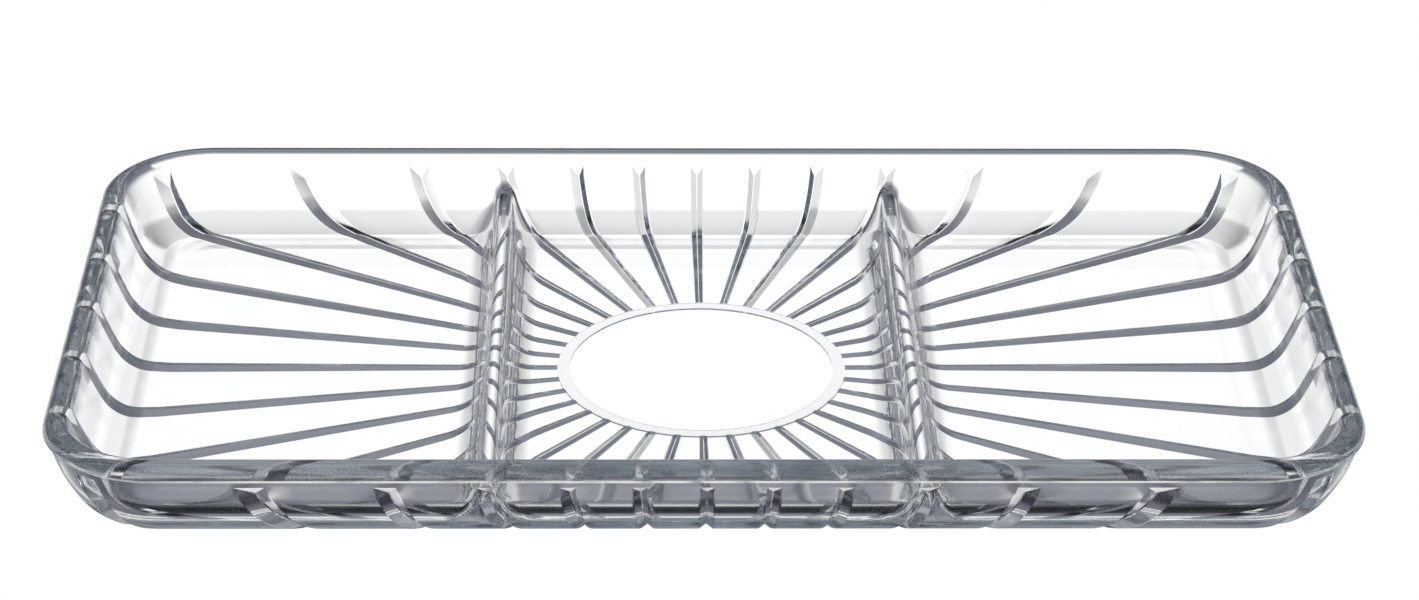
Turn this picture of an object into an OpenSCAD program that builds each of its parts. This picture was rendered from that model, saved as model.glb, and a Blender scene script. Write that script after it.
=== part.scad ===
// Relish tray in clear pressed glass: one long rounded dish with three
// compartments, two low dividers and a sunburst of V grooves underneath.
// +X runs along the length, +Z is up, and the origin is at the middle of the
// foot ring, on the surface that the tray stands on.

/* [Tray] */
// Length over the rim
tray_length = 305; // [240:1:380]
// Width over the rim
tray_width = 176; // [140:1:220]
// Height from the table to the top of the rim
tray_height = 24; // [21:0.5:32]
// Corner radius of the flat of the floor, which the cove and the walls lie round
floor_corner_radius = 4.2; // [1:0.1:16]

/* [Glass] */
// Thickness of the flat floor
floor_thickness = 5.6; // [4.5:0.1:8]
// Thickness of the rolled rim
rim_thickness = 5.4; // [4:0.1:7]
// How far the rim stands out past the top of the outer wall
rim_overhang = 0.9; // [0.2:0.1:1.5]
// Height of the straight neck between the half-round rim and the wall
rim_neck = 1.3; // [0.5:0.1:4]
// Radius of the cove between the floor and the walls, inside
cove_radius = 16; // [10:0.5:18]
// Lean of the inner wall from upright, just under the rim
wall_lean = 14; // [8:1:20]

/* [Heel] */
// Radius of the round heel under the outer edge
heel_radius = 15.4; // [10:0.2:18]
// Angle from upright at which the heel turns into the wall
heel_lean = 33; // [26:1:40]
// Radius of the bowed outer wall, from the heel up to the rim
wall_bow_radius = 43; // [34:1:60]

/* [Sunburst] */
// Number of grooves in the full circle
groove_count = 36; // [24:4:40]
// Width of a groove where it starts at the foot ring
groove_width = 2.4; // [1.6:0.1:3]
// Growth of the groove's width for each unit of distance from the ring
groove_spread = 0.033; // [0.01:0.001:0.04]
// Depth of a groove as a share of its width
groove_depth_share = 0.46; // [0.3:0.01:0.5]
// Plain strip between the top of the grooves and the rim's neck
plain_strip = 1.6; // [1:0.1:5]

/* [Foot ring] */
// Outer radius of the frosted ring that the tray stands on
ring_radius = 35.3; // [28:0.1:40]
// Width of the ring
ring_width = 3; // [2:0.1:5]
// Height of the ring below the flat underside
ring_height = 0.4; // [0.2:0.1:1]

/* [Dividers] */
// Distance of each divider's middle from the middle of the tray
divider_offset = 50; // [42:0.5:70]
// Height of a divider's crest above the floor
divider_height = 8.6; // [6:0.1:11]
// Radius of the rounded crest
crest_radius = 2; // [1.4:0.1:3]
// Radius of the fillets between a divider and the floor
fillet_radius = 6; // [3:0.5:8]
// Lean of the divider's sides from upright
divider_lean = 12; // [6:1:20]

/* [Hidden] */
$fn = 96;

// Steps in each arc of a profile
arc_steps = 8;
// Overrun of every cutter past the surface that it cuts
overrun = 2;
// Flat strip between the walls' curves and the floor plate
flat_strip = 1;
// Glass tints: clear, and frosted for the ring
glass_colour = [0.86, 0.92, 0.93, 0.55];
frost_colour = [0.93, 0.94, 0.95];

half_length = tray_length / 2;
half_width = tray_width / 2;
floor_top = ring_height + floor_thickness;
rim_round = rim_thickness / 2;
rim_round_height = tray_height - rim_round;
rim_base = rim_round_height - rim_neck;
groove_top = rim_base - plain_strip;

// A profile point is [inset from the outermost edge of the rim, height].
// lean is the tangent's angle from upright, 90 at a flat bottom.
function arc_point(centre, radius, lean) =
    [centre[0] - radius * cos(lean), centre[1] - radius * sin(lean)];
function arc_points(centre, radius, lean_a, lean_b) =
    [for (i = [0 : arc_steps]) arc_point(centre, radius, lean_a + (lean_b - lean_a) * i / arc_steps)];

// The bowed wall ends at the rim's base, and its centre follows from there.
heel_centre_height = ring_height + heel_radius;
heel_end_height = heel_centre_height - heel_radius * sin(heel_lean);
bow_centre_height = heel_end_height + wall_bow_radius * sin(heel_lean);
rim_lean = asin((bow_centre_height - rim_base) / wall_bow_radius);
bow_centre_inset = rim_overhang + wall_bow_radius * cos(rim_lean);
heel_end_inset = bow_centre_inset - wall_bow_radius * cos(heel_lean);
heel_centre_inset = heel_end_inset + heel_radius * cos(heel_lean);
heel_centre = [heel_centre_inset, heel_centre_height];
bow_centre = [bow_centre_inset, bow_centre_height];

// The inner wall leans straight down from the rim, then rounds into the floor.
// A cove big enough to reach the rim leaves no straight wall.
cove_centre_height = floor_top + cove_radius;
cove_reaches_rim = cove_centre_height - cove_radius * sin(wall_lean) >= rim_base;
cove_lean = cove_reaches_rim ? asin((cove_centre_height - rim_base) / cove_radius) : wall_lean;
cove_end_height = cove_centre_height - cove_radius * sin(cove_lean);
rim_foot_inset = rim_overhang + rim_thickness;
cove_end_inset = rim_foot_inset + (rim_base - cove_end_height) * tan(cove_lean);
cove_centre_inset = cove_end_inset + cove_radius * cos(cove_lean);
cove_centre = [cove_centre_inset, cove_centre_height];

// The floor plate starts inside the walls' curves, and its corner sets the rim's.
plate_inset = max(cove_centre_inset, heel_centre_inset) + flat_strip;
corner_radius = floor_corner_radius + plate_inset;

inner_points = concat(cove_reaches_rim ? [] : [[rim_foot_inset, rim_base]],
    arc_points(cove_centre, cove_radius, cove_lean, 90));
outer_points = concat(arc_points(heel_centre, heel_radius, 90, heel_lean),
    [for (i = [1 : arc_steps]) arc_point(bow_centre, wall_bow_radius,
        heel_lean + (rim_lean - heel_lean) * i / arc_steps)]);
wall_points = concat(inner_points, [[plate_inset, floor_top], [plate_inset, ring_height]],
    outer_points);

// The rim is a half round on a short straight neck.
rim_points = concat([[rim_foot_inset, rim_base]],
    [for (i = [0 : 2 * arc_steps]) [rim_round + rim_round * cos(90 * i / arc_steps),
        rim_round_height + rim_round * sin(90 * i / arc_steps)]],
    [[rim_overhang, rim_base]]);

// Distance from the middle of the tray to the outline that lies inset inside
// the rim's outermost edge, along the direction of an angle
function outline_reach(angle, inset) =
    let (cx = abs(cos(angle)), cy = abs(sin(angle)),
        a = half_length - inset, b = half_width - inset,
        px = half_length - corner_radius, py = half_width - corner_radius,
        r = corner_radius - inset,
        along = cx * px + cy * py,
        side = a / max(cx, 1e-9), end = b / max(cy, 1e-9))
    side * cy <= py ? side
        : end * cx <= px ? end
        : along + sqrt(along * along - px * px - py * py + r * r);

// Groove widths follow the distance from the middle.
function width_at(reach) = groove_width + groove_spread * (reach - ring_radius);

// A groove's path in its own upright plane is [inset, height, lean] of the
// glass surface at each place, round the heel and up the wall.
groove_steps = 4;
top_lean = asin((bow_centre_height - groove_top) / wall_bow_radius);
function heel_place(lean) = concat(arc_point(heel_centre, heel_radius, lean), lean);
function bow_place(lean) = concat(arc_point(bow_centre, wall_bow_radius, lean), lean);
top_place = bow_place(top_lean);

// One point of the groove cutter: sunk is the depth under the surface, below
// zero outside the glass, and half is how far it lies beside the groove's
// middle plane.
function cutter_point(angle, place, sunk, half) =
    let (inset = place[0] + sunk * cos(place[2]), z = place[1] + sunk * sin(place[2]),
        reach = outline_reach(angle, inset), turn = atan(half / reach),
        edge = outline_reach(angle + turn, inset))
    [edge * cos(angle + turn), edge * sin(angle + turn), z];

// Each section is [valley, left, right], and its sides pass through the edges
// of the groove on the glass.
function cutter_section(angle, place) =
    let (width = width_at(outline_reach(angle, place[0])), depth = width * groove_depth_share,
        half = width / 2 * (depth + overrun) / depth)
    [cutter_point(angle, place, depth, 0),
        cutter_point(angle, place, -overrun, half),
        cutter_point(angle, place, -overrun, -half)];

function ring_section(angle) =
    let (depth = groove_width * groove_depth_share,
        half = groove_width / 2 * (depth + overrun) / depth,
        at = [cos(angle), sin(angle)], side = [-sin(angle), cos(angle)])
    [concat(at * ring_radius, ring_height + depth),
        concat(at * ring_radius + side * half, ring_height - overrun),
        concat(at * ring_radius - side * half, ring_height - overrun)];

// The valley stops one groove depth below the flat top edge, so the groove
// ends in a slanted triangle.
module groove(angle) {
    top_width = width_at(outline_reach(angle, top_place[0]));
    valley_height = groove_top - top_width * groove_depth_share;
    valley_lean = asin((bow_centre_height - valley_height) / wall_bow_radius);
    places = concat(
        [for (i = [0 : groove_steps]) heel_place(90 + (heel_lean - 90) * i / groove_steps)],
        [for (i = [1 : groove_steps]) bow_place(heel_lean + (valley_lean - heel_lean) * i / groove_steps)]);
    sections = concat([ring_section(angle)],
        [for (place = places) cutter_section(angle, place)]);
    crown = cutter_section(angle, top_place);
    points = concat([for (section = sections) each section], [crown[1], crown[2]]);
    // Points count three to a section, and the crown's two come last.
    last = len(places);
    valley = 3 * last;
    crown_left = valley + 3;
    crown_right = valley + 4;
    sides = [for (i = [0 : last - 1]) for (j = [0 : 2])
        let (k = (j + 1) % 3, a = 3 * i + j, b = 3 * i + k)
        each [[a, b, b + 3], [a, b + 3, a + 3]]];
    cap = [[valley, valley + 1, crown_left], [valley, crown_left, crown_right],
        [valley, crown_right, valley + 2],
        [valley + 1, valley + 2, crown_right], [valley + 1, crown_right, crown_left]];
    polyhedron(points, concat([[0, 2, 1]], sides, cap));
}

module grooves(first, last) {
    for (i = [first : last])
        groove(i * 360 / groove_count);
}

// A profile drawn by inset and height, set out from a corner's centre
module from_corner(points) {
    polygon([for (p = points) [corner_radius - p[0], p[1]]]);
}

// One side of the tray: the straight run on +Y, and half of each corner. Each
// half starts at the middle, so its run ends just where its corner starts.
module side_run(points, run, reach) {
    translate([0, reach - corner_radius, 0])
        for (flip = [0, 1])
            mirror([flip, 0, 0]) {
                rotate([90, 0, 90])
                    linear_extrude(run / 2)
                        from_corner(points);
                translate([run / 2, 0, 0])
                    rotate([0, 0, 90])
                        rotate_extrude(angle = -45)
                            from_corner(points);
            }
}

long_run = tray_length - 2 * corner_radius;
short_run = tray_width - 2 * corner_radius;
quarter = groove_count / 4;

// Each wall takes the grooves that reach it, counted from its middle.
long_side_grooves = ceil(atan((half_length - rim_overhang) / (half_width - corner_radius)) * groove_count / 360);
short_side_grooves = ceil(atan(half_width / (half_length - corner_radius)) * groove_count / 360);

module floor_plate() {
    inner_x = half_length - corner_radius;
    inner_y = half_width - corner_radius;
    color(glass_colour)
        difference() {
            translate([0, 0, ring_height])
                linear_extrude(floor_thickness)
                    union() {
                        square([2 * (inner_x + floor_corner_radius), 2 * inner_y], center = true);
                        square([2 * inner_x, 2 * (inner_y + floor_corner_radius)], center = true);
                        for (x = [-inner_x, inner_x])
                            for (y = [-inner_y, inner_y])
                                translate([x, y])
                                    circle(floor_corner_radius);
                    }
            grooves(0, groove_count - 1);
        }
}

module foot_ring() {
    color(frost_colour)
        difference() {
            cylinder(h = ring_height, r = ring_radius);
            translate([0, 0, -overrun])
                cylinder(h = ring_height + 2 * overrun, r = ring_radius - ring_width);
        }
}

module back_wall() {
    color(glass_colour)
        difference() {
            side_run(wall_points, long_run, half_width);
            grooves(quarter - long_side_grooves, quarter + long_side_grooves);
        }
}

module front_wall() {
    color(glass_colour)
        difference() {
            rotate([0, 0, 180])
                side_run(wall_points, long_run, half_width);
            grooves(3 * quarter - long_side_grooves, 3 * quarter + long_side_grooves);
        }
}

module left_end_wall() {
    color(glass_colour)
        difference() {
            rotate([0, 0, 90])
                side_run(wall_points, short_run, half_length);
            grooves(2 * quarter - short_side_grooves, 2 * quarter + short_side_grooves);
        }
}

module right_end_wall() {
    color(glass_colour)
        difference() {
            rotate([0, 0, -90])
                side_run(wall_points, short_run, half_length);
            grooves(-short_side_grooves, short_side_grooves);
        }
}

module rim() {
    color(glass_colour)
        for (turn = [0, 180])
            rotate([0, 0, turn]) {
                side_run(rim_points, long_run, half_width);
                rotate([0, 0, 90])
                    side_run(rim_points, short_run, half_length);
            }
}

// Half of the divider's section, from the crest's top down to the floor
crest_height = floor_top + divider_height;
crest_centre_height = crest_height - crest_radius;
fillet_centre_height = floor_top + fillet_radius;
arcs_radius = crest_radius + fillet_radius;
centres_rise = fillet_centre_height - crest_centre_height;
// Where the fillets reach the crest there is no straight flank between them.
fillets_meet_crest = centres_rise >= arcs_radius * sin(divider_lean);
flank_lean = fillets_meet_crest ? asin(centres_rise / arcs_radius) : divider_lean;
flank_drop = arcs_radius * sin(flank_lean) - centres_rise;
fillet_centre_x = arcs_radius * cos(flank_lean) + flank_drop * tan(flank_lean);
fillet_start = fillets_meet_crest ? 1 : 0;
divider_side = concat(
    [for (i = [0 : arc_steps]) let (a = 90 + (flank_lean - 90) * i / arc_steps)
        [crest_radius * cos(a), crest_centre_height + crest_radius * sin(a)]],
    [for (i = [fillet_start : arc_steps]) let (a = flank_lean + (90 - flank_lean) * i / arc_steps)
        [fillet_centre_x - fillet_radius * cos(a), fillet_centre_height - fillet_radius * sin(a)]]);
divider_points = concat(divider_side,
    [for (i = [len(divider_side) - 1 : -1 : 0]) [-divider_side[i][0], divider_side[i][1]]]);

// The space between the long walls, seen along X
cavity_side = [for (p = inner_points) [half_width - p[0], p[1]]];
cavity_points = concat(cavity_side,
    [for (i = [len(cavity_side) - 1 : -1 : 0]) [-cavity_side[i][0], cavity_side[i][1]]]);

module divider(x) {
    color(glass_colour)
        intersection() {
            translate([x, half_width, 0])
                rotate([90, 0, 0])
                    linear_extrude(tray_width)
                        polygon(divider_points);
            translate([x - fillet_centre_x, 0, 0])
                rotate([90, 0, 90])
                    linear_extrude(2 * fillet_centre_x)
                        polygon(cavity_points);
        }
}

module left_divider() {
    divider(-divider_offset);
}

module right_divider() {
    divider(divider_offset);
}

floor_plate();
foot_ring();
front_wall();
back_wall();
left_end_wall();
right_end_wall();
rim();
left_divider();
right_divider();
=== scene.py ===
import math

import bmesh
import bpy
from mathutils import Matrix, Vector


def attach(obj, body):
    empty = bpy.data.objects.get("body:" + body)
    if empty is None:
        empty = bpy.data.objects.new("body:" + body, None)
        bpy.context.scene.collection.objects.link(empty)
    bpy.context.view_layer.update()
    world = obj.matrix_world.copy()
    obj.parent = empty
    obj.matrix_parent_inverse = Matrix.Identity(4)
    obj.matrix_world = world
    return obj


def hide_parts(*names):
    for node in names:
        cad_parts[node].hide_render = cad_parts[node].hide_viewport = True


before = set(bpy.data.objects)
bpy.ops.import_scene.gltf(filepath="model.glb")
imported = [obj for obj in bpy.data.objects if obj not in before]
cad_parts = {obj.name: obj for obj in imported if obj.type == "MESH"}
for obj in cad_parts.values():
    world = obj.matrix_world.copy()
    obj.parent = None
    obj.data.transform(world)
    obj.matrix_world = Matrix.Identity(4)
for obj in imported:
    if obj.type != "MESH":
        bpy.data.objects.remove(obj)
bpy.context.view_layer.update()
print("frame loaded")

mm = 0.001
quarterTurn = math.pi / 2
tiny = 1e-6

# Sizes of the tray in millimetres. Insets are from the rim's outermost edge,
# slopes are in degrees from level and leans in degrees from upright.
tray = {
    "halfLength": 152.5,
    "halfWidth": 88.0,
    "height": 24.0,
    "cornerRadius": 27.491,
    "rimOverhang": 0.94,  # of the rim past the wall under it
    "rimBase": 19.8,  # height where the wall meets the rim
    "rimRound": 3.17,
}

# The inside: flat floor, a slightly rising band, the cove and the wall
inside = {
    "floorTop": 5.92,
    "bandInset": 23.45,
    "bandSlope": 3.5,
    "coveInset": 18.57,
    "coveCrease": 9.06,
    "coveRadius": 12.61,
    "wallLean": 23.23,  # where the wall leaves the cove
    "wallRadius": 192.0,  # it leans a little less towards the rim
    "rimRound": 2.6,
}

# The outside: flat underside, a slightly rising band, the heel and the bowed wall
outside = {
    "bandInset": 21.8,
    "bandSlope": 4.74,
    "heelInset": 13.56,
    "heelCrease": 14.51,
    "heelRadius": 13.95,
    "heelLean": 31.87,
    "edgeRound": 0.35,  # half width of the rounding at each crease
}

# The sunburst: grooves from the ring, round the heel and up the wall. Seen from
# above, a groove's valley sinks along the groove where it meets the wall nearly
# square, and square to the wall where it meets it slanting.
sunburst = {
    "count": 36,
    "width": 1.95,  # at the ring
    "spread": 0.027,  # growth of the width for each millimetre outwards
    "depthShare": 0.38,  # of the width
    "top": 18.4,  # height of the flat edge where a groove ends
    "endSlant": 1.8,  # length of the slanted end for each millimetre of depth
    "slantFrom": 22.0,  # degrees off square where the first way gives over
    "slantTo": 29.0,  # and where the second has taken over
    "valleyShare": 0.07,  # of the width that is flat at the bottom
    "edgeShare": 0.9,  # of the half width where the softened edge starts
    "edgeStep": 0.22,  # softened edge on the plain side
}

ring = {"radius": 35.3, "width": 3.0, "height": 0.4}

divider = {
    "offset": 50.0,
    "crest": 8.9,  # above the floor
    "crestRadius": 2.0,
    "lean": 12.0,
    "fillet": 6.0,
    "wallFillet": 2.4,  # where it runs into the long walls
    "reach": 18.0,  # from its middle, beyond which it changes nothing
}

# How finely the surface is drawn, and what counts as one point of it
grid = {
    "heelSteps": 14,
    "bowSteps": 8,
    "rimSteps": 12,
    "wallSteps": 14,
    "coveSteps": 15,
    "bandSteps": 3,
    "plainLines": 3,  # between two grooves on a straight side
    "cornerLines": 26,  # between two grooves round a corner
    "endGap": 0.02,  # least distance of a line from a straight run's end
    "cornerGap": 0.012,  # the same round a corner, in radians
    "lineGap": 0.12,  # least distance of a filling line from its neighbours
    "shellMerge": 2e-6,  # metres, where the shell's lines run together
    "trayMerge": 1e-6,  # metres, for the whole surface
    "sharpAngle": 15.0,  # degrees between faces, from which an edge stays sharp
}

# Offsets of the lines that draw a divider, closest where its flanks are steep,
# and of the filling lines across the ends
ridgeOffsets = [0.0, 0.35, 0.7, 1.05, 1.35, 1.6, 1.8, 1.95, 2.1, 2.25, 2.4, 2.55, 2.7,
                2.9, 3.1, 3.35, 3.65, 4.0, 4.4, 4.9, 5.5, 6.2, 7.0, 7.9, 9.0, 10.3,
                12.0, 14.0, 16.5, 19.5]
endOffsets = [4, 9, 14, 19, 24, 29, 34, 38, 41, 44, 46, 48, 50, 52, 54, 56, 58]


# A node's output, so that Python's operators build the nodes of a tree
class Field:
    def __init__(self, tree, socket):
        self.tree, self.socket = tree, socket

    def __add__(self, other): return calc("ADD", self, other)
    def __radd__(self, other): return calc("ADD", other, self)
    def __sub__(self, other): return calc("SUBTRACT", self, other)
    def __rsub__(self, other): return calc("SUBTRACT", other, self)
    def __mul__(self, other): return calc("MULTIPLY", self, other)
    def __rmul__(self, other): return calc("MULTIPLY", other, self)
    def __truediv__(self, other): return calc("DIVIDE", self, other)


def addNode(tree, kind, settings=None, values=None, out=0):
    node = tree.nodes.new(kind)
    for name, value in (settings or {}).items():
        setattr(node, name, value)
    for name, value in (values or {}).items():
        if isinstance(value, Field):
            tree.links.new(value.socket, node.inputs[name])
        elif isinstance(value, bpy.types.NodeSocket):
            tree.links.new(value, node.inputs[name])
        else:
            node.inputs[name].default_value = value
    return Field(tree, node.outputs[out]) if len(node.outputs) else None


# Sine and cosine also take plain numbers. All else has a field in it.
plainCalc = {"SINE": math.sin, "COSINE": math.cos}


def calc(operation, *values):
    fields = [v for v in values if isinstance(v, Field)]
    if not fields:
        return plainCalc[operation](*values)
    settings = {"operation": operation}
    return addNode(fields[0].tree, "ShaderNodeMath", settings, dict(enumerate(values)))


def least(a, b): return calc("MINIMUM", a, b)
def most(a, b): return calc("MAXIMUM", a, b)
def clamped(a, low, high): return least(most(a, low), high)
def sine(a): return calc("SINE", a)
def cosine(a): return calc("COSINE", a)
def root(a): return calc("SQRT", a)
def below(a, b): return calc("LESS_THAN", a, b)
def blend(a, b, share): return a + (b - a) * share


# The tray's outline from above, for one inset from the rim's outermost edge,
# worked out with fields in one quarter
class Outline:
    def __init__(self, halfLength, halfWidth, cornerRadius):
        self.length, self.width, self.radius = halfLength, halfWidth, cornerRadius
        self.px, self.py = halfLength - cornerRadius, halfWidth - cornerRadius
        self.arc = cornerRadius * quarterTurn

    # Distance from the middle along an angle
    def reach(self, angle, inset):
        c, s = cosine(angle), sine(angle)
        side = (self.length - inset) / most(c, tiny)
        end = (self.width - inset) / most(s, tiny)
        radius = self.radius - inset
        along = c * self.px + s * self.py
        offCentre = along * along - self.px * self.px - self.py * self.py
        corner = along + root(offCentre + radius * radius)
        onSide, onEnd = below(side * s, self.py), below(end * c, self.px)
        return onSide * side + (1 - onSide) * (onEnd * end + (1 - onEnd) * corner)

    # Place along the outline: up the end, round the corner, along the side
    def place(self, angle, inset):
        reach = self.reach(angle, inset)
        x, y = reach * cosine(angle), reach * sine(angle)
        turn = calc("ARCTAN2", most(y - self.py, 0.0), most(x - self.px, tiny))
        return least(y, self.py) + turn * self.arc / quarterTurn + self.px - least(x, self.px)

    # Angle that the outline faces at a place on it
    def facing(self, place):
        return clamped(place - self.py, 0.0, self.arc) / self.arc * quarterTurn

    def point(self, place, inset):
        turn = self.facing(place)
        radius = self.radius - inset
        x = self.px - most(place - self.py - self.arc, 0.0) + radius * cosine(turn)
        return x, least(place, self.py) + radius * sine(turn)


def arcPoint(centre, radius, lean):
    return centre[0] - radius * cosine(lean), centre[1] - radius * sine(lean)


def arcCentre(point, radius, lean):
    return point[0] + radius * math.cos(lean), point[1] + radius * math.sin(lean)


# Half lengths of the straight runs, at whose ends the corners start
runX = tray["halfLength"] - tray["cornerRadius"]
runY = tray["halfWidth"] - tray["cornerRadius"]
grooveStep = 2 * math.pi / sunburst["count"]

# The outside profile, as inset and height
heelLean = math.radians(outside["heelLean"])
heelSlope = math.radians(outside["bandSlope"])
heelStart = quarterTurn - heelSlope - math.radians(outside["heelCrease"])
heelRise = (outside["bandInset"] - outside["heelInset"]) * math.tan(heelSlope)
heelFoot = (outside["heelInset"], ring["height"] + heelRise)
heelCentre = arcCentre(heelFoot, outside["heelRadius"], heelStart)
heelTop = arcPoint(heelCentre, outside["heelRadius"], heelLean)

# The bowed wall leaves the heel smoothly and ends under the rim.
chord = (heelTop[0] - tray["rimOverhang"], heelTop[1] - tray["rimBase"])
chordAlong = chord[0] * math.cos(heelLean) + chord[1] * math.sin(heelLean)
bowRadius = -math.hypot(*chord) ** 2 / (2 * chordAlong)
bowCentre = arcCentre(heelTop, bowRadius, heelLean)
rimLean = math.asin((bowCentre[1] - tray["rimBase"]) / bowRadius)
topLean = math.asin((bowCentre[1] - sunburst["top"]) / bowRadius)
topInset = arcPoint(bowCentre, bowRadius, topLean)[0]

# The inside profile: the slightly bowed wall joins cove and rim smoothly.
wallLean = math.radians(inside["wallLean"])
floorSlope = math.radians(inside["bandSlope"])
coveStart = quarterTurn - floorSlope - math.radians(inside["coveCrease"])
coveRise = (inside["bandInset"] - inside["coveInset"]) * math.tan(floorSlope)
coveFoot = (inside["coveInset"], inside["floorTop"] + coveRise)
coveCentre = arcCentre(coveFoot, inside["coveRadius"], coveStart)
coveTop = arcPoint(coveCentre, inside["coveRadius"], wallLean)
wallRadius = inside["wallRadius"]
wallCentre = arcCentre(coveTop, wallRadius, wallLean)
rimCentre = (tray["rimRound"], tray["height"] - tray["rimRound"])
innerRise = wallCentre[1] - tray["height"] + inside["rimRound"]
rimEndLean = math.asin(innerRise / (wallRadius + inside["rimRound"]))
innerRimCentre = arcPoint(wallCentre, wallRadius + inside["rimRound"], rimEndLean)
print("profile: bow radius %.1f, rim from %.2f to %.2f, wall starts at %.2f, %.2f"
      % (bowRadius, rimCentre[0], innerRimCentre[0], *coveTop))


# Camera, placed by a fit to the photograph's outline, ring and grooves
view = {
    "place": (-0.0173, -0.9154, 0.4805),
    "yaw": 1.201,
    "pitch": 26.581,
    "roll": 0.565,
    "focal": 4203.0,  # in pixels, like the frame's width
    "frameWidth": 1419.0,
    "sensor": 36.0,
    "clip": (0.01, 20.0),
}


def makeCamera():
    yaw, pitch, roll = (math.radians(view[k]) for k in ("yaw", "pitch", "roll"))
    level = Vector((math.cos(yaw), -math.sin(yaw), 0.0))
    ahead = Vector((math.sin(yaw) * math.cos(pitch), math.cos(yaw) * math.cos(pitch),
                    -math.sin(pitch)))
    over = level.cross(ahead)
    right = math.cos(roll) * level + math.sin(roll) * over
    up = -math.sin(roll) * level + math.cos(roll) * over
    data = bpy.data.cameras.new("photoCamera")
    data.sensor_fit, data.sensor_width = "HORIZONTAL", view["sensor"]
    data.lens = view["focal"] * view["sensor"] / view["frameWidth"]
    data.clip_start, data.clip_end = view["clip"]
    camera = bpy.data.objects.new("photoCamera", data)
    bpy.context.scene.collection.objects.link(camera)
    axes = Matrix((right, up, -ahead)).transposed().to_4x4()
    camera.matrix_world = Matrix.Translation(view["place"]) @ axes
    bpy.context.scene.camera = camera


makeCamera()
print("camera placed")


# Materials. Thick glass is a little darker and cooler than thin glass.
glassBody = {"ior": 1.515, "depthTint": (0.68, 0.76, 0.82, 1.0), "depthDensity": 9.0}

# The clear glass has a very faint wave and a trace of roughness.
clearLook = {
    "colour": (1.0, 1.0, 1.0, 1.0),
    "roughness": 0.08,
    "roughShare": 0.0,  # roughness that the noise adds
    "noiseScale": 55.0,
    "noiseDetail": 1.0,
    "noiseDepth": 0.000002,
}

# The ring that the tray rests on is frosted with a fine grain.
frostLook = {
    "colour": (0.96, 0.97, 0.98, 1.0),
    "roughness": 0.08,
    "roughShare": 0.12,
    "noiseScale": 1500.0,
    "noiseDetail": 2.0,
    "noiseDepth": 0.00002,
}


def newMaterial(name):
    material = bpy.data.materials.new(name)
    material.use_nodes = True
    tree = material.node_tree
    tree.nodes.clear()
    return material, tree


def makeGlass(name, look):
    material, tree = newMaterial(name)
    place = addNode(tree, "ShaderNodeTexCoord", out="Object")
    noise = addNode(tree, "ShaderNodeTexNoise", {"noise_dimensions": "3D"},
                    {"Vector": place, "Scale": look["noiseScale"],
                     "Detail": look["noiseDetail"]}, "Fac")
    bump = addNode(tree, "ShaderNodeBump", None,
                   {"Height": noise, "Distance": look["noiseDepth"], "Strength": 1.0},
                   "Normal")
    roughness = look["roughness"]
    if look["roughShare"]:
        roughness = noise * look["roughShare"] + roughness
    surface = addNode(tree, "ShaderNodeBsdfPrincipled", None,
                      {"Base Color": look["colour"], "Roughness": roughness,
                       "IOR": glassBody["ior"], "Transmission Weight": 1.0,
                       "Normal": bump})
    depth = addNode(tree, "ShaderNodeVolumeAbsorption", None,
                    {"Color": glassBody["depthTint"], "Density": glassBody["depthDensity"]})
    addNode(tree, "ShaderNodeOutputMaterial", None, {"Surface": surface, "Volume": depth})
    return material


clearGlass = makeGlass("clearPressedGlass", clearLook)
frostedGlass = makeGlass("frostedRingGlass", frostLook)
print("materials made")


# The outer shell is a flat sheet of rows and lines that a Geometry Nodes tree
# wraps round the outline. A line belongs to a groove or to the plain glass
# beside it, and a row to the ring, the heel, the bowed wall or the rim.
def shellLines():
    lines = []
    cornerStart = math.atan2(runY, tray["halfLength"])
    cornerEnd = math.atan2(tray["halfWidth"], runX)
    gaps = sunburst["count"] // 4
    flanks = (0.0, sunburst["valleyShare"], sunburst["edgeShare"])
    for quarter, (mirrorX, mirrorY) in enumerate(((1, 1), (-1, 1), (-1, -1), (1, -1))):
        backwards = quarter % 2 == 1
        for gap in (reversed(range(gaps)) if backwards else range(gaps)):
            start = gap * grooveStep
            inCorner = start + grooveStep > cornerStart and start < cornerEnd
            plain = grid["cornerLines"] if inCorner else grid["plainLines"]
            across = [(flank, 0, 0.0) for flank in flanks]
            across += [(1.0, 0, i / (plain + 1)) for i in range(plain + 2)]
            across += [(flank, 1, 1.0) for flank in reversed(flanks)]
            if backwards:
                across.reverse()
            for flank, second, gapShare in across[:-1]:
                lines.append({"gapStart": start, "flank": flank, "second": second,
                              "gapShare": gapShare, "mirrorX": mirrorX, "mirrorY": mirrorY})
    return lines


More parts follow.
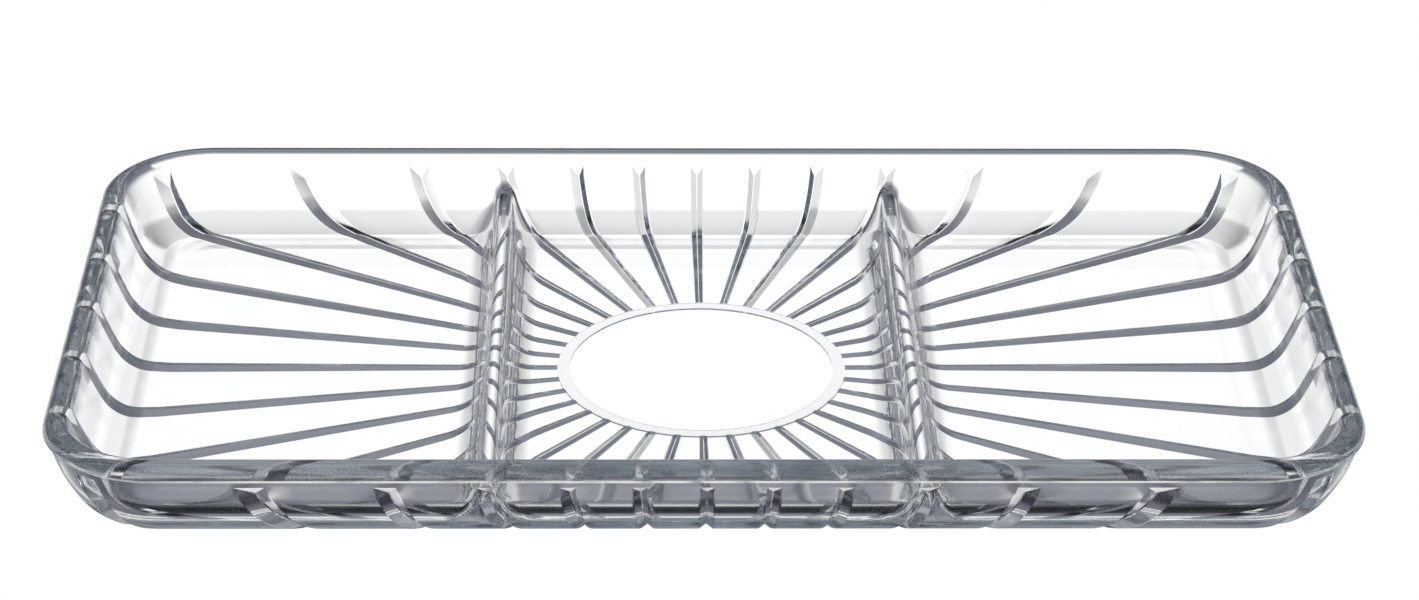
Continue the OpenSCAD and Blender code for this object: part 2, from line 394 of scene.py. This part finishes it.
# A row's ring reach or bow share is -1 where it has none.
def shellRows():
    rows = []

    def add(inset, height, lean, sink=0.0, reach=-1.0, bow=-1.0, frosted=0):
        rows.append({"inset": inset, "height": height, "lean": lean, "sink": sink,
                     "ringReach": reach, "bowShare": bow, "frosted": frosted})

    inner, outer, under = ring["radius"] - ring["width"], ring["radius"], ring["height"]
    add(0.0, under, quarterTurn, reach=0.0)
    add(0.0, under, quarterTurn, reach=inner)
    add(0.0, 0.0, quarterTurn, reach=inner, frosted=1)
    add(0.0, 0.0, quarterTurn, reach=outer, frosted=1)
    add(0.0, under, quarterTurn, reach=outer, frosted=1)
    add(0.0, under, quarterTurn, sink=1.0, reach=outer)
    # Each crease is a narrow rounding between two rows.
    edge, bandLean = outside["edgeRound"], quarterTurn - heelSlope
    edgeRise = edge * math.tan(heelSlope)
    add(outside["bandInset"] + edge, under, quarterTurn, sink=1.0)
    add(outside["bandInset"] - edge, under + edgeRise, bandLean, sink=1.0)
    add(heelFoot[0] + edge, heelFoot[1] - edgeRise, bandLean, sink=1.0)
    for i in range(grid["heelSteps"] + 1):
        lean = blend(heelStart - edge / outside["heelRadius"], heelLean, i / grid["heelSteps"])
        add(*arcPoint(heelCentre, outside["heelRadius"], lean), lean, sink=1.0)
    for i in range(1, grid["bowSteps"] + 1):
        add(0.0, 0.0, 0.0, sink=1.0, bow=i / grid["bowSteps"])
    for lean in (topLean, (topLean + rimLean) / 2, rimLean):
        add(*arcPoint(bowCentre, bowRadius, lean), lean)
    for i in range(grid["rimSteps"] + 1):
        turn = math.pi - quarterTurn * i / grid["rimSteps"]
        add(rimCentre[0] + tray["rimRound"] * math.cos(turn),
            rimCentre[1] + tray["rimRound"] * math.sin(turn), 0.0)
    return rows


def makeTemplate(name, rows, lines):
    mesh = bpy.data.meshes.new(name)
    n = len(lines)
    points = [(i * mm, j * mm, 0.0) for i in range(len(rows)) for j in range(n)]
    faces = [(i * n + j, i * n + (j + 1) % n, (i + 1) * n + (j + 1) % n, (i + 1) * n + j)
             for i in range(len(rows) - 1) for j in range(n)]
    mesh.from_pydata(points, [], faces)
    values = {}
    for row in rows:
        ended = row["sink"] == 0.0 and row["ringReach"] < 0.0
        for line in lines:
            flank = 1.0 if ended and line["flank"] > 0.0 else line["flank"]
            edgeStep = sunburst["edgeStep"] if line["flank"] == 1.0 else 0.0
            here = {**row, **line, "flank": flank, "edgeStep": edgeStep}
            for key, value in here.items():
                values.setdefault(key, []).append(float(value))
    for key, numbers in values.items():
        mesh.attributes.new(key, "FLOAT", "POINT").data.foreach_set("value", numbers)
    flags = [float(row["frosted"]) for row in rows[1:] for _ in lines]
    mesh.attributes.new("frostedFace", "FLOAT", "FACE").data.foreach_set("value", flags)
    shell = bpy.data.objects.new(name, mesh)
    bpy.context.scene.collection.objects.link(shell)
    return shell


shellInputs = {
    "Half Length": tray["halfLength"],
    "Half Width": tray["halfWidth"],
    "Corner Radius": tray["cornerRadius"],
    "Ring Radius": ring["radius"],
    "Groove Width": sunburst["width"],
    "Groove Spread": sunburst["spread"],
    "Groove Depth Share": sunburst["depthShare"],
    "Valley Share": sunburst["valleyShare"],
    "Groove Top": sunburst["top"],
    "End Slant": sunburst["endSlant"],
    "Slant From": math.radians(sunburst["slantFrom"]),
    "Slant To": math.radians(sunburst["slantTo"]),
    "Groove Step": grooveStep,
    "Heel Lean": heelLean,
    "Bow Radius": bowRadius,
}


def makeShellTree():
    tree = bpy.data.node_groups.new("sunburstShell", "GeometryNodeTree")

    def addSocket(name, way, kind):
        return tree.interface.new_socket(name, in_out=way, socket_type="NodeSocket" + kind)

    addSocket("Geometry", "INPUT", "Geometry")
    for name, value in shellInputs.items():
        addSocket(name, "INPUT", "Float").default_value = value
    for name in ("Clear Glass", "Frosted Glass"):
        addSocket(name, "INPUT", "Material")
    addSocket("Geometry", "OUTPUT", "Geometry")
    source = tree.nodes.new("NodeGroupInput")

    def given(name): return Field(tree, source.outputs[name])

    def stored(name):
        return addNode(tree, "GeometryNodeInputNamedAttribute", {"data_type": "FLOAT"},
                       {"Name": name})

    def isGiven(value): return 1 - below(value, -0.5)

    outline = Outline(given("Half Length"), given("Half Width"), given("Corner Radius"))
    bow, ringRadius, ringReach = given("Bow Radius"), given("Ring Radius"), stored("ringReach")
    onRing = isGiven(ringReach)
    share, flank, second = stored("gapShare"), stored("flank"), stored("second")
    start = stored("gapStart")
    finish = start + given("Groove Step")

    def widthAt(reach):
        return given("Groove Width") + given("Groove Spread") * (reach - ringRadius)

    # Where a groove's valley stops, below its flat top edge by the slanted end
    def valleyLean(angle):
        depth = widthAt(outline.reach(angle, topInset)) * given("Groove Depth Share")
        drop = bowCentre[1] - given("Groove Top") + depth * given("End Slant")
        return calc("ARCSINE", drop / bow)

    # The bowed wall's rows are spread from the heel to where the valleys stop.
    bowShare = stored("bowShare")
    onBow = isGiven(bowShare)
    bowEnd = blend(valleyLean(start), valleyLean(finish), share)
    bowLean = blend(given("Heel Lean"), bowEnd, bowShare)
    bowInset, bowHeight = arcPoint(bowCentre, bow, bowLean)
    lean = blend(stored("lean"), bowLean, onBow)
    inset = blend(stored("inset"), bowInset, onBow)
    height = blend(stored("height"), bowHeight, onBow)

    def halfAngle(angle):
        reach = blend(outline.reach(angle, inset), ringRadius, onRing)
        return calc("ARCTANGENT", widthAt(reach) / 2 / reach)

    # The plain glass between two grooves, on the ring and on the outline
    edgeA, edgeB = start + halfAngle(start), finish - halfAngle(finish)
    edgeStep = stored("edgeStep")
    ringStep = edgeStep / ringRadius
    ringAngle = blend(edgeA + ringStep, edgeB - ringStep, share)
    placeA = outline.place(edgeA, inset) + edgeStep
    placeB = outline.place(edgeB, inset) - edgeStep
    plainX, plainY = outline.point(blend(placeA, placeB, share), inset)
    plainX = blend(plainX, ringReach * cosine(ringAngle), onRing)
    plainY = blend(plainY, ringReach * sine(ringAngle), onRing)

    # The groove's depth, and how far it slants to the wall, from 0 to 1
    grooveAngle = start + second * given("Groove Step")
    grooveX, grooveY = cosine(grooveAngle), sine(grooveAngle)
    surface = outline.reach(grooveAngle, inset)
    width = widthAt(blend(surface, ringRadius, onRing))
    depth = width * given("Groove Depth Share") * stored("sink")
    sunk = inset + depth * cosine(lean)
    alongWall = outline.place(grooveAngle, inset)
    offSquare = calc("ABSOLUTE", grooveAngle - outline.facing(alongWall))
    slantFrom, slantTo = given("Slant From"), given("Slant To")
    slanting = clamped((offSquare - slantFrom) / (slantTo - slantFrom), 0.0, 1.0)

    # The valley, with its middle lifted to be level with the line beside it
    squareX, squareY = outline.point(alongWall, sunk)
    straight = outline.reach(grooveAngle, sunk)
    surface = blend(surface, ringReach, onRing)
    lifted = below(flank, tiny) * given("Valley Share")
    level = most(onRing, lifted)
    valleyX = blend(straight * grooveX, squareX, slanting)
    valleyY = blend(straight * grooveY, squareY, slanting)
    valleyX = blend(valleyX, surface * grooveX, level)
    valleyY = blend(valleyY, surface * grooveY, level)
    valleyHeight = height + depth * sine(lean) * (1 - lifted)

    x = blend(valleyX, plainX, flank) * stored("mirrorX") * mm
    y = blend(valleyY, plainY, flank) * stored("mirrorY") * mm
    z = blend(valleyHeight, height, flank) * mm
    position = addNode(tree, "ShaderNodeCombineXYZ", None, {"X": x, "Y": y, "Z": z})
    placed = addNode(tree, "GeometryNodeSetPosition", None,
                     {"Geometry": source.outputs["Geometry"], "Position": position})
    merged = addNode(tree, "GeometryNodeMergeByDistance", None,
                     {"Geometry": placed, "Distance": grid["shellMerge"]})
    real = addNode(tree, "GeometryNodeRealizeInstances", None, {"Geometry": merged})
    clear = addNode(tree, "GeometryNodeSetMaterial", None,
                    {"Geometry": real, "Material": source.outputs["Clear Glass"]})
    frosted = addNode(tree, "GeometryNodeSetMaterial", None,
                      {"Geometry": clear, "Selection": 1 - below(stored("frostedFace"), 0.5),
                       "Material": source.outputs["Frosted Glass"]})
    addNode(tree, "NodeGroupOutput", None, {"Geometry": frosted})
    return tree


def setInput(modifier, name, value):
    item = next(i for i in modifier.node_group.interface.items_tree
                if i.name == name and i.in_out == "INPUT")
    modifier[item.identifier] = value


def makeShell():
    shell = makeTemplate("outerShell", shellRows(), shellLines())
    modifier = shell.modifiers.new("sunburst", "NODES")
    modifier.node_group = makeShellTree()
    glasses = {"Clear Glass": clearGlass, "Frosted Glass": frostedGlass}
    for name, value in {**shellInputs, **glasses}.items():
        setInput(modifier, name, value)
    bpy.context.view_layer.update()
    evaluated = shell.evaluated_get(bpy.context.evaluated_depsgraph_get())
    mesh = bpy.data.meshes.new_from_object(evaluated)
    shell.modifiers.remove(modifier)
    bpy.data.objects.remove(shell)
    return mesh


# Distance in the air above the bare floor, band, cove and wall, and the lean
# of the nearest of them
def wallDistance(inset, height):
    floorGap = height - inside["floorTop"]
    bandGap = ((inset - inside["bandInset"]) * math.sin(floorSlope)
               + floorGap * math.cos(floorSlope))
    across, down = wallCentre[0] - inset, wallCentre[1] - height
    wallGap = wallRadius - math.hypot(across, down)
    nearest = min((floorGap, quarterTurn), (bandGap, quarterTurn - floorSlope),
                  (wallGap, math.atan2(down, across)))
    across, down = coveCentre[0] - inset, coveCentre[1] - height
    lean = math.atan2(down, across)
    if wallLean < lean < coveStart:
        nearest = min(nearest, (inside["coveRadius"] - math.hypot(across, down), lean))
    return nearest


dividerLean = math.radians(divider["lean"])
crestHeight = inside["floorTop"] + divider["crest"] - divider["crestRadius"]


# Distance from a bare divider, in its own section
def dividerDistance(off, height):
    off, rise = abs(off), height - crestHeight
    if rise > off * math.tan(dividerLean):
        return math.hypot(off, rise) - divider["crestRadius"]
    flank = off * math.cos(dividerLean) + rise * math.sin(dividerLean)
    return flank - divider["crestRadius"]


def smooth(low, high, value):
    share = min(max((value - low) / (high - low), 0.0), 1.0)
    return share * share * (3 - 2 * share)


def insetOf(x, y):
    pastX, pastY = abs(x) - runX, abs(y) - runY
    outwards = math.hypot(max(pastX, 0.0), max(pastY, 0.0)) + min(max(pastX, pastY), 0.0)
    return tray["cornerRadius"] - outwards


# Distance to the glass with its dividers, which round fillets join to the rest
def cavityDistance(point):
    x, y, z = point
    bare, lean = wallDistance(insetOf(x, y), z)
    ridge = dividerDistance(abs(x) - divider["offset"], z)
    onFloor = smooth(wallLean, quarterTurn - floorSlope, lean)
    fillet = blend(divider["wallFillet"], divider["fillet"], onFloor)
    if bare < fillet and ridge < fillet:
        return fillet - math.hypot(fillet - bare, fillet - ridge)
    return min(bare, ridge)


# A point of the bare inside is moved along its normal, each time by a share of
# what is missing, until it lies on the surface with the dividers.
lifting = {"steps": 80, "share": 0.9, "closeEnough": 1e-5}


def raised(point, normal):
    if abs(abs(point[0]) - divider["offset"]) > divider["reach"]:
        return point
    moved = Vector(point)
    for _ in range(lifting["steps"]):
        gap = cavityDistance(moved)
        if gap > -lifting["closeEnough"]:
            break
        moved -= normal * gap * lifting["share"]
    return tuple(moved)


# Rows of the inside from the rim's top to the floor, as inset, height and lean.
# The rim's rows have no lean, because no divider reaches them.
def innerRows():
    rows = []
    for i in range(grid["rimSteps"] + 1):
        turn = blend(quarterTurn, rimEndLean, i / grid["rimSteps"])
        rows.append((innerRimCentre[0] + inside["rimRound"] * math.cos(turn),
                     innerRimCentre[1] + inside["rimRound"] * math.sin(turn), None))
    for i in range(1, grid["wallSteps"]):
        lean = blend(rimEndLean, wallLean, i / grid["wallSteps"])
        rows.append((*arcPoint(wallCentre, wallRadius, lean), lean))
    edge, bandInset = outside["edgeRound"], inside["bandInset"]
    for i in range(grid["coveSteps"] + 1):
        lean = blend(wallLean, coveStart - edge / inside["coveRadius"], i / grid["coveSteps"])
        rows.append((*arcPoint(coveCentre, inside["coveRadius"], lean), lean))
    for i in range(grid["bandSteps"] + 1):
        inset = blend(coveFoot[0] + edge, bandInset - edge, i / grid["bandSteps"])
        height = inside["floorTop"] + (bandInset - inset) * math.tan(floorSlope)
        rows.append((inset, height, quarterTurn - floorSlope))
    halfway = blend(bandInset, tray["cornerRadius"], 0.5)
    for inset in (bandInset + edge, halfway, tray["cornerRadius"]):
        rows.append((inset, inside["floorTop"], quarterTurn))
    return rows


# Lines across a straight run: those that are kept, and the extra ones that
# don't come too close to a line before them
def spread(limit, extra, kept):
    farthest = limit - grid["endGap"]
    values = sorted(set(round(v, 4) for v in kept if abs(v) < farthest))
    for v in extra:
        apart = min((abs(v - w) for w in values), default=limit)
        if abs(v) < farthest and apart > grid["lineGap"]:
            values.append(v)
    return sorted(values)


# The shell's open border, from the right end's middle and anticlockwise
def borderLoop(shape):
    first = next(e for e in shape.edges if len(e.link_faces) == 1)
    loop = list(first.verts)
    while True:
        nextEdge = next(e for e in loop[-1].link_edges
                        if len(e.link_faces) == 1 and e.other_vert(loop[-1]) is not loop[-2])
        follower = nextEdge.other_vert(loop[-1])
        if follower is loop[0]:
            break
        loop.append(follower)
    start = max(range(len(loop)),
                key=lambda i: (round(loop[i].co.x, 6), -abs(loop[i].co.y)))
    loop = loop[start:] + loop[:start]
    if loop[1].co.y < loop[0].co.y:
        loop = [loop[0]] + loop[:0:-1]
    return loop


# Stations run once round: the ends, the sides and the corners' arcs.
def stationsOf(rim, xLines, yLines):
    corners = {(sx, sy): [0.0, quarterTurn] for sx in (-1, 1) for sy in (-1, 1)}
    endGap, cornerGap = grid["endGap"], grid["cornerGap"]
    for x, y in rim:
        if abs(x) >= runX - endGap and abs(y) >= runY - endGap:
            turn = math.atan2(max(abs(y) - runY, 0.0), max(abs(x) - runX, 0.0))
            if cornerGap < turn < quarterTurn - cornerGap:
                corners[(1 if x > 0 else -1, 1 if y > 0 else -1)].append(turn)

    def corner(sx, sy, backwards):
        return [("corner", (sx, sy), t) for t in sorted(corners[(sx, sy)], reverse=backwards)]

    stations = [("end", 1, y) for y in yLines if y >= 0]
    stations += corner(1, 1, False)
    stations += [("side", 1, x) for x in reversed(xLines)]
    stations += corner(-1, 1, True)
    stations += [("end", -1, y) for y in reversed(yLines)]
    stations += corner(-1, -1, False)
    stations += [("side", -1, x) for x in xLines]
    stations += corner(1, -1, True)
    stations += [("end", 1, y) for y in yLines if y < 0]
    return stations


# A station's point at an inset, and its way inwards
def stationPoint(station, inset):
    kind, side, value = station
    radius = tray["cornerRadius"] - inset
    if kind == "end":
        return side * (runX + radius), value, (-side, 0.0)
    if kind == "side":
        return value, side * (runY + radius), (0.0, -side)
    c, s = math.cos(value), math.sin(value)
    x, y = side[0] * (runX + radius * c), side[1] * (runY + radius * s)
    return x, y, (-side[0] * c, -side[1] * s)


# Place on the way once round the rim, where each corner counts as one length
cornerWay = 100
halfWay = 2 * (runY + cornerWay + runX)
sameWay = 1e-9


def around(x, y):
    if abs(x) > runX and abs(y) > runY:
        turn = math.atan2(abs(y) - runY, abs(x) - runX)
        along = runY + turn * cornerWay / quarterTurn
    elif abs(x) > runX:
        along = abs(y)
    else:
        along = runY + cornerWay + runX - abs(x)
    if y >= 0:
        return along if x >= 0 else halfWay - along
    return halfWay + along if x < 0 else 2 * halfWay - along


def makeTray():
    shape = bmesh.new()
    shape.from_mesh(makeShell())
    print("outer shell wrapped:", len(shape.verts), "points")
    loop = borderLoop(shape)
    rim = [(v.co.x / mm, v.co.y / mm) for v in loop]
    ridges = [side * (divider["offset"] + sign * off)
              for side in (-1, 1) for sign in (-1, 1) for off in ridgeOffsets]
    fills = [side * off for side in (-1, 1) for off in endOffsets]
    xLines = spread(runX, sorted(set(ridges), key=abs), [x for x, y in rim if abs(x) < runX])
    yLines = spread(runY, fills, [y for x, y in rim if abs(x) > runX and abs(y) < runY])
    stations = stationsOf(rim, xLines, yLines)
    count = len(stations)
    points = {}

    # Points that fall together to a thousandth of a millimetre are one.
    def vertex(x, y, z, normal):
        moved = raised((x, y, z), normal) if normal is not None else (x, y, z)
        key = (round(x, 3), round(y, 3), round(z, 3))
        if key not in points:
            points[key] = shape.verts.new([v * mm for v in moved])
        return points[key]

    def face(*verts):
        kept = [v for i, v in enumerate(verts) if v is not verts[i - 1]]
        if len(set(kept)) > 2:
            shape.faces.new(kept)

    rows = innerRows()
    sheet = []
    for inset, height, lean in rows:
        line = []
        for station in stations:
            x, y, inward = stationPoint(station, inset)
            normal = None
            if lean is not None:
                level = math.cos(lean)
                normal = Vector((inward[0] * level, inward[1] * level, math.sin(lean)))
            line.append(vertex(x, y, height, normal))
        sheet.append(line)
    for a, b in zip(sheet, sheet[1:]):
        for j in range(count):
            k = (j + 1) % count
            face(a[j], a[k], b[k], b[j])

    # The floor between the straight runs is one grid of the same lines.
    up = Vector((0.0, 0.0, 1.0))
    xs, ys = [-runX] + xLines + [runX], [-runY] + yLines + [runY]
    floor = [[vertex(x, y, inside["floorTop"], up) for y in ys] for x in xs]
    for i in range(len(xs) - 1):
        for j in range(len(ys) - 1):
            face(floor[i][j], floor[i + 1][j], floor[i + 1][j + 1], floor[i][j + 1])

    # The rim's top line has fewer points on the outside than on the inside, so
    # each outer step takes in the inner points beside it.
    outer = [around(x, y) for x, y in rim]
    inner = [around(*stationPoint(s, rows[0][0])[:2]) for s in stations]
    inner = [v if v < 2 * halfWay - tiny else 0.0 for v in inner]
    outer.append(outer[0] + 2 * halfWay)
    inner.append(inner[0] + 2 * halfWay)
    i = j = 0
    while i < len(rim) or j < count:
        if j >= count or (i < len(rim) and outer[i + 1] <= inner[j + 1] + sameWay):
            face(loop[i], loop[(i + 1) % len(rim)], sheet[0][j % count])
            i += 1
        else:
            face(loop[i % len(rim)], sheet[0][(j + 1) % count], sheet[0][j])
            j += 1

    bmesh.ops.remove_doubles(shape, verts=shape.verts, dist=grid["trayMerge"])
    bmesh.ops.recalc_face_normals(shape, faces=shape.faces)
    openCount = sum(len(e.link_faces) != 2 for e in shape.edges)
    print("open edges:", openCount, "volume mm3:", round(shape.calc_volume() / mm ** 3))
    sharp = math.radians(grid["sharpAngle"])
    for f in shape.faces:
        f.smooth = True
    for e in shape.edges:
        e.smooth = len(e.link_faces) == 2 and e.calc_face_angle(0.0) < sharp
    mesh = bpy.data.meshes.new("glassTray")
    mesh.materials.append(clearGlass)
    mesh.materials.append(frostedGlass)
    shape.to_mesh(mesh)
    shape.free()
    piece = bpy.data.objects.new("glassTray", mesh)
    bpy.context.scene.collection.objects.link(piece)
    return piece


glassTray = makeTray()
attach(glassTray, "root")
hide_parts("floor_plate", "foot_ring", "front_wall", "back_wall", "left_end_wall",
            "right_end_wall", "rim", "left_divider", "right_divider")
print("tray made:", len(glassTray.data.polygons), "faces")


# Floor and light. The glass shows the surroundings, which are soft zones of
# grey in three directions: a white window low down behind the tray, a dimmer
# one low down beside and in front of it, darker parts above and below them, and
# a small bright spot straight below. Each stop is a height in degrees from
# level and a level of grey. Directions are in degrees round from straight behind.
studio = {
    "strength": 1.2,
    "coolness": 0.6,  # how much bluer the darker zones are
    "spot": ((-90, 0.92), (-87, 0.84), (-84.5, 0.06)),
    "behind": ((-75, 0.0), (-68, 0.02), (-61, 0.1), (-55, 0.22), (-49, 0.2), (-43, 0.17),
               (-38, 0.23), (-34, 0.43), (-31.5, 0.54), (-30.3, 0.78), (-29.0, 1.0),
               (-8, 1.0), (2, 0.2), (12, 0.03), (26, 0.32), (45, 0.45), (65, 0.4),
               (77, 0.3)),
    "beside": ((-65, 0.01), (-45, 0.12), (-32, 0.56), (-20, 0.8), (-4, 0.15), (20, 0.0),
               (45, 0.0), (65, 0.0), (77, 0.3)),
    "facing": ((-65, 0.0), (-45, 0.2), (-32, 0.6), (-20, 0.8), (-4, 0.33), (20, 0.1),
               (45, 0.02), (65, 0.0), (77, 0.3)),
    "softFrom": (8.0, 18.0),  # where the window behind becomes softer
    "softShare": 0.72,
    "besideFrom": (40.0, 70.0),
    "facingFrom": (105.0, 135.0),
}

floorPlane = {"half": 3.0, "height": -0.0001}

bounces = {"all": 40, "glass": 32}


def makeFloor():
    material, tree = newMaterial("paleFloor")
    light = addNode(tree, "ShaderNodeEmission", None,
                    {"Color": (1.0, 1.0, 1.0, 1.0), "Strength": 1.0})
    addNode(tree, "ShaderNodeOutputMaterial", None, {"Surface": light})
    half, height = floorPlane["half"], floorPlane["height"]
    corners = ((-1, -1), (1, -1), (1, 1), (-1, 1))
    mesh = bpy.data.meshes.new("paleFloor")
    mesh.from_pydata([(sx * half, sy * half, height) for sx, sy in corners], [],
                     [(0, 1, 2, 3)])
    mesh.materials.append(material)
    floor = bpy.data.objects.new("paleFloor", mesh)
    bpy.context.scene.collection.objects.link(floor)
    floor.visible_diffuse = floor.visible_glossy = False
    floor.visible_transmission = floor.visible_shadow = False


def makeWorld():
    world = bpy.data.worlds.new("studio")
    world.use_nodes = True
    tree = world.node_tree
    tree.nodes.clear()
    way = addNode(tree, "ShaderNodeTexCoord", out="Generated")
    parts = tree.nodes.new("ShaderNodeSeparateXYZ")
    tree.links.new(way.socket, parts.inputs[0])
    x, y, z = (Field(tree, parts.outputs[axis]) for axis in "XYZ")
    height = calc("ARCSINE", z) / math.pi + 0.5
    turn = calc("ARCTAN2", calc("ABSOLUTE", x), y)

    def zone(name):
        stops = studio["spot"] + studio[name]
        node = tree.nodes.new("ShaderNodeValToRGB")
        ramp = node.color_ramp
        while len(ramp.elements) < len(stops):
            ramp.elements.new(0.5)
        for element, (degrees, grey) in zip(ramp.elements, stops):
            cool = studio["coolness"] * grey * max(0.5 - grey, 0.0)
            element.position = degrees / 180 + 0.5
            element.color = (max(grey - cool / 4, 0.0), grey, grey + cool, 1.0)
        tree.links.new(height.socket, node.inputs[0])
        return Field(tree, node.outputs[0])

    # A Mix node has its two colours at sockets 6 and 7, and the mixed one at 2.
    def mixed(a, b, share):
        return addNode(tree, "ShaderNodeMix", {"data_type": "RGBA"}, {0: share, 6: a, 7: b}, 2)

    def share(limits):
        low, high = (math.radians(v) for v in limits)
        return addNode(tree, "ShaderNodeMapRange", {"interpolation_type": "LINEAR"},
                       {"Value": turn, "From Min": low, "From Max": high,
                        "To Min": 0.0, "To Max": 1.0})

    soft = 1 - share(studio["softFrom"]) * (1 - studio["softShare"])
    window = addNode(tree, "ShaderNodeVectorMath", {"operation": "SCALE"},
                     {0: zone("behind"), "Scale": soft}, "Vector")
    light = mixed(window, zone("beside"), share(studio["besideFrom"]))
    light = mixed(light, zone("facing"), share(studio["facingFrom"]))
    # Seen directly, the surroundings are white.
    shown = addNode(tree, "ShaderNodeLightPath", out="Is Camera Ray")
    plain = 1.0 / studio["strength"]
    light = mixed(light, (plain, plain, plain, 1.0), shown)
    back = addNode(tree, "ShaderNodeBackground", None,
                   {"Color": light, "Strength": studio["strength"]})
    addNode(tree, "ShaderNodeOutputWorld", None, {"Surface": back})
    bpy.context.scene.world = world


def makeLook():
    scene = bpy.context.scene
    scene.view_settings.view_transform = "Standard"
    scene.cycles.max_bounces = bounces["all"]
    scene.cycles.glossy_bounces = scene.cycles.transmission_bounces = bounces["glass"]
    scene.cycles.caustics_reflective = scene.cycles.caustics_refractive = True


makeFloor()
makeWorld()
makeLook()
print("floor and light made")
